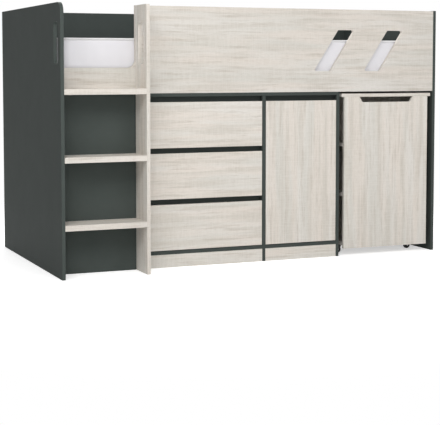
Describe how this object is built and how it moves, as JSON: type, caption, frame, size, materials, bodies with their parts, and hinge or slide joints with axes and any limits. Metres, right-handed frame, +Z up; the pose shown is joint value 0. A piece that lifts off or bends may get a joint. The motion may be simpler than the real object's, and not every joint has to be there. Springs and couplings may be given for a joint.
{
  "type": "combination bed",
  "caption": "Mid-height bed with a climbing ladder, guard panels with slanted slots, drawers, a cupboard and a roll-out desk on castors under the sleeping deck.",
  "frame": {"origin": "on the floor, at the middle of the bed's plan", "axes": "+X along the bed from the ladder to the desk, +Y from the front to the wall, +Z up"},
  "size_m": [1.972, 1.09, 1.2],
  "materials": {
    "whitewashed_board": "satin",
    "anthracite_board": "matte",
    "slat_wood": "satin",
    "drawer_board": "satin",
    "zinc_steel": "satin",
    "castor_black": "satin",
    "wheel_black": "matte",
    "mattress_fabric": "quilted"
  },
  "bodies": {
    "bed_frame": {"left_end_panel": "anthracite_board", "right_end_panel": "anthracite_board", "front_guard_panel": "whitewashed_board", "rear_guard_panel": "anthracite_board", "ladder_stile": "whitewashed_board", "lower_tread": "whitewashed_board", "middle_tread": "whitewashed_board", "upper_tread": "whitewashed_board", "ladder_back_panel": "anthracite_board", "slat_battens": "slat_wood", "bed_slats": "slat_wood", "rear_stretcher": "anthracite_board", "storage_left_side": "anthracite_board", "storage_partition": "anthracite_board", "storage_right_side": "anthracite_board", "storage_top": "anthracite_board", "storage_floors": "anthracite_board", "storage_plinths": "whitewashed_board", "finger_gap_rails": "anthracite_board", "storage_back": "anthracite_board", "cupboard_shelf": "anthracite_board", "shelf_pins": "zinc_steel", "cabinet_runners": "zinc_steel", "hinge_arms": "zinc_steel"},
    "lower_drawer": {"lower_drawer_front": "whitewashed_board", "lower_drawer_sides": "drawer_board", "lower_drawer_back": "drawer_board", "lower_drawer_bottom": "drawer_board", "lower_drawer_runners": "zinc_steel"},
    "middle_drawer": {"middle_drawer_front": "whitewashed_board", "middle_drawer_sides": "drawer_board", "middle_drawer_back": "drawer_board", "middle_drawer_bottom": "drawer_board", "middle_drawer_runners": "zinc_steel"},
    "upper_drawer": {"upper_drawer_front": "whitewashed_board", "upper_drawer_sides": "drawer_board", "upper_drawer_back": "drawer_board", "upper_drawer_bottom": "drawer_board", "upper_drawer_runners": "zinc_steel"},
    "door": {"cupboard_door": "whitewashed_board", "hinge_cups": "zinc_steel"},
    "desk": {"desk_top": "whitewashed_board", "desk_front_panel": "whitewashed_board", "desk_upright": "whitewashed_board", "desk_shelves": "whitewashed_board", "desk_column_side": "whitewashed_board", "desk_leg": "whitewashed_board", "desk_foot": "whitewashed_board", "desk_rail": "whitewashed_board", "castor_plates": "zinc_steel"},
    "front_left_castor": {"front_left_castor_fork": "castor_black"},
    "front_left_wheel": {"front_left_castor_wheel": "wheel_black"},
    "front_right_castor": {"front_right_castor_fork": "castor_black"},
    "front_right_wheel": {"front_right_castor_wheel": "wheel_black"},
    "rear_left_castor": {"rear_left_castor_fork": "castor_black"},
    "rear_left_wheel": {"rear_left_castor_wheel": "wheel_black"},
    "rear_right_castor": {"rear_right_castor_fork": "castor_black"},
    "rear_right_wheel": {"rear_right_castor_wheel": "wheel_black"},
    "mattress": {"mattress": "mattress_fabric"}
  },
  "joints": [
    {"name": "lower_drawer_slide", "type": "slide", "parent": "bed_frame", "child": "lower_drawer", "axis": [0, -1, 0], "range_m": [0, 0.36]},
    {"name": "middle_drawer_slide", "type": "slide", "parent": "bed_frame", "child": "middle_drawer", "axis": [0, -1, 0], "range_m": [0, 0.36]},
    {"name": "upper_drawer_slide", "type": "slide", "parent": "bed_frame", "child": "upper_drawer", "axis": [0, -1, 0], "range_m": [0, 0.36]},
    {"name": "door_hinge", "type": "hinge", "parent": "bed_frame", "child": "door", "pos_m": [0.053, -0.395, 0.42], "axis": [0, 0, -1], "range_deg": [0, 90]},
    {"name": "desk_slide", "type": "slide", "parent": "bed_frame", "child": "desk", "axis": [0, -1, 0], "range_m": [0, 0.7]},
    {"name": "front_left_swivel", "type": "hinge", "parent": "desk", "child": "front_left_castor", "pos_m": [0.508, -0.29, 0.043], "axis": [0, 0, 1], "continuous": true},
    {"name": "front_left_wheel_spin", "type": "hinge", "parent": "front_left_castor", "child": "front_left_wheel", "pos_m": [0.494, -0.29, 0.017], "axis": [0, 1, 0], "continuous": true},
    {"name": "front_right_swivel", "type": "hinge", "parent": "desk", "child": "front_right_castor", "pos_m": [0.907, -0.29, 0.043], "axis": [0, 0, 1], "continuous": true},
    {"name": "front_right_wheel_spin", "type": "hinge", "parent": "front_right_castor", "child": "front_right_wheel", "pos_m": [0.893, -0.29, 0.017], "axis": [0, 1, 0], "continuous": true},
    {"name": "rear_left_swivel", "type": "hinge", "parent": "desk", "child": "rear_left_castor", "pos_m": [0.508, 0.453, 0.043], "axis": [0, 0, 1], "continuous": true},
    {"name": "rear_left_wheel_spin", "type": "hinge", "parent": "rear_left_castor", "child": "rear_left_wheel", "pos_m": [0.494, 0.453, 0.017], "axis": [0, 1, 0], "continuous": true},
    {"name": "rear_right_swivel", "type": "hinge", "parent": "desk", "child": "rear_right_castor", "pos_m": [0.907, 0.453, 0.043], "axis": [0, 0, 1], "continuous": true},
    {"name": "rear_right_wheel_spin", "type": "hinge", "parent": "rear_right_castor", "child": "rear_right_wheel", "pos_m": [0.893, 0.453, 0.017], "axis": [0, 1, 0], "continuous": true},
    {"name": "mattress_lift", "type": "slide", "parent": "bed_frame", "child": "mattress", "axis": [0, 0, 1], "range_m": [0, 0.35]}
  ]
}
